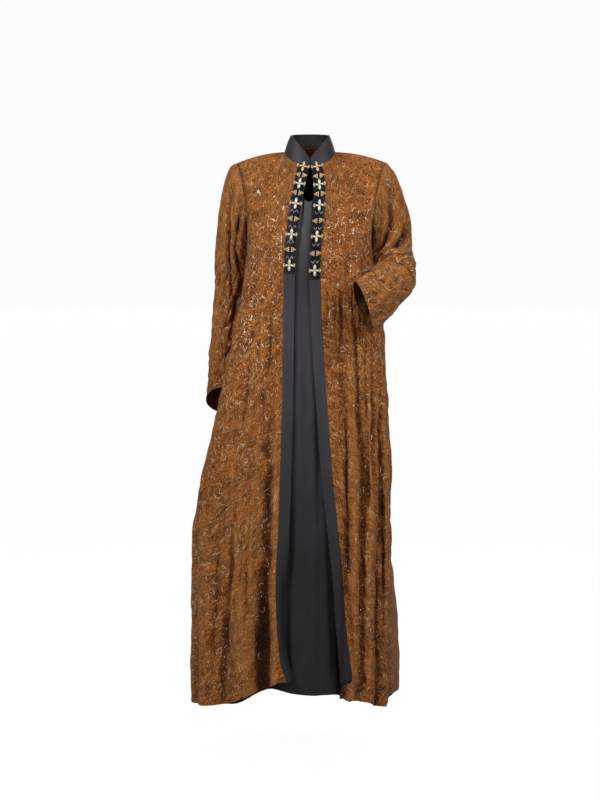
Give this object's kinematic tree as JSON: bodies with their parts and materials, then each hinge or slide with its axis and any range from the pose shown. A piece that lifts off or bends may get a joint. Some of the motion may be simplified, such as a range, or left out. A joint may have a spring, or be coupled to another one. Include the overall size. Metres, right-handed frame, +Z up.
{
  "type": "kaftan",
  "caption": "Floor-length open-front kaftan coat with stand collar, charcoal front bands, beaded strips and a sewn-in inner panel, held as worn.",
  "frame": {"origin": "midway between the two high points of the shoulders, at the sides of the neckline, where the wearer's shoulders and neck carry the garment", "axes": "+Z up the wearer, -Y the way the wearer faces, +X towards the wearer's left"},
  "size_m": [0.5842, 0.4431, 1.4867],
  "materials": {
    "brown_chiffon": "crinkled chiffon with brushed tan streaks and scattered metallic thread dashes, soft sheen",
    "charcoal_crepe": "fine matt crepe, charcoal",
    "bead_strip": "net sewn all over with small glossy black beads"
  },
  "bodies": {
    "root": {"front_right": "brown_chiffon", "front_left": "brown_chiffon", "back": "brown_chiffon", "sleeve_right": "brown_chiffon", "sleeve_left": "brown_chiffon", "band_right": "charcoal_crepe", "band_left": "charcoal_crepe", "collar": "charcoal_crepe", "inner_front": "charcoal_crepe", "trim_right": "bead_strip", "trim_left": "bead_strip"}
  },
  "joints": []
}
